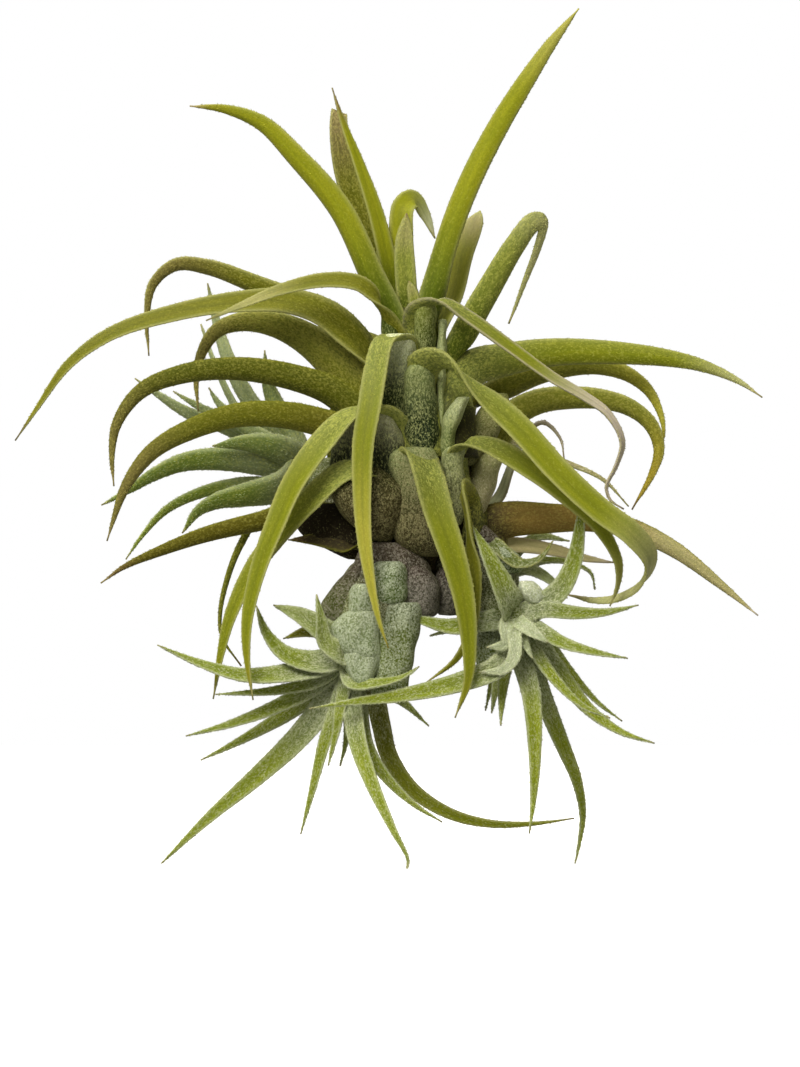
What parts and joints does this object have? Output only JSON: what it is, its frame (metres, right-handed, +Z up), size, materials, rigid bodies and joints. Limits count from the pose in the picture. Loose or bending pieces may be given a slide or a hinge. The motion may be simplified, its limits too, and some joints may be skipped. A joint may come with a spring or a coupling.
{
  "type": "air plant",
  "caption": "Clump of a small bulbous air plant: a tall rosette of long arching, curling channelled leaves with young silvery rosettes at its foot, lying on three leaf tips.",
  "frame": {"origin": "on the resting surface, under the middle of the plant's bounding box", "axes": "+Z up, +X to the right and +Y to the back as the plant is seen from its front"},
  "size_m": [0.125, 0.0544, 0.1427],
  "materials": {
    "leaf_bright": "yellow-green smooth blade with fine silvery scales",
    "leaf_olive": "olive blade, paler towards its rim, tip dried brown",
    "leaf_deep": "dark green blade covered in fine golden-grey scales",
    "leaf_brown": "brown-olive old blade, matt and scaly",
    "leaf_silver": "silvery green, thick with white scales",
    "leaf_dry": "dried grey-brown, thin and curled",
    "heart": "dark brown-green woody stem and packed sheaths"
  },
  "bodies": {
    "root": {"heart": "heart", "leaf_back_left": "leaf_olive", "leaf_behind_front": "leaf_olive", "leaf_crossing_left": "leaf_olive", "leaf_dry_sheath": "leaf_brown", "leaf_dry_stalk": "leaf_dry", "leaf_front_arch": "leaf_bright", "leaf_front_hanging": "leaf_bright", "leaf_front_left": "leaf_bright", "leaf_front_short": "leaf_bright", "leaf_grey_curl": "leaf_dry", "leaf_heart_folded": "leaf_bright", "leaf_left_arch": "leaf_deep", "leaf_left_broad": "leaf_brown", "leaf_long_front": "leaf_bright", "leaf_long_left": "leaf_olive", "leaf_long_right": "leaf_bright", "leaf_low_left": "leaf_brown", "leaf_low_right": "leaf_brown", "leaf_mid_left": "leaf_olive", "leaf_rear_1": "leaf_olive", "leaf_rear_2": "leaf_olive", "leaf_rear_3": "leaf_deep", "leaf_rear_4": "leaf_deep", "leaf_rear_5": "leaf_brown", "leaf_right_back": "leaf_olive", "leaf_right_curl": "leaf_olive", "leaf_right_short": "leaf_bright", "leaf_right_silver": "leaf_silver", "leaf_second_front": "leaf_bright", "leaf_small_right": "leaf_silver", "leaf_thin_back": "leaf_silver", "leaf_thin_dark": "leaf_deep", "leaf_top_back": "leaf_silver", "leaf_top_left": "leaf_bright", "leaf_top_right": "leaf_bright", "leaf_top_slim": "leaf_bright", "leaf_wide_left": "leaf_olive", "pup_back": "leaf_silver", "pup_front": "leaf_silver", "pup_left": "leaf_silver", "pup_right": "leaf_silver"}
  },
  "joints": []
}
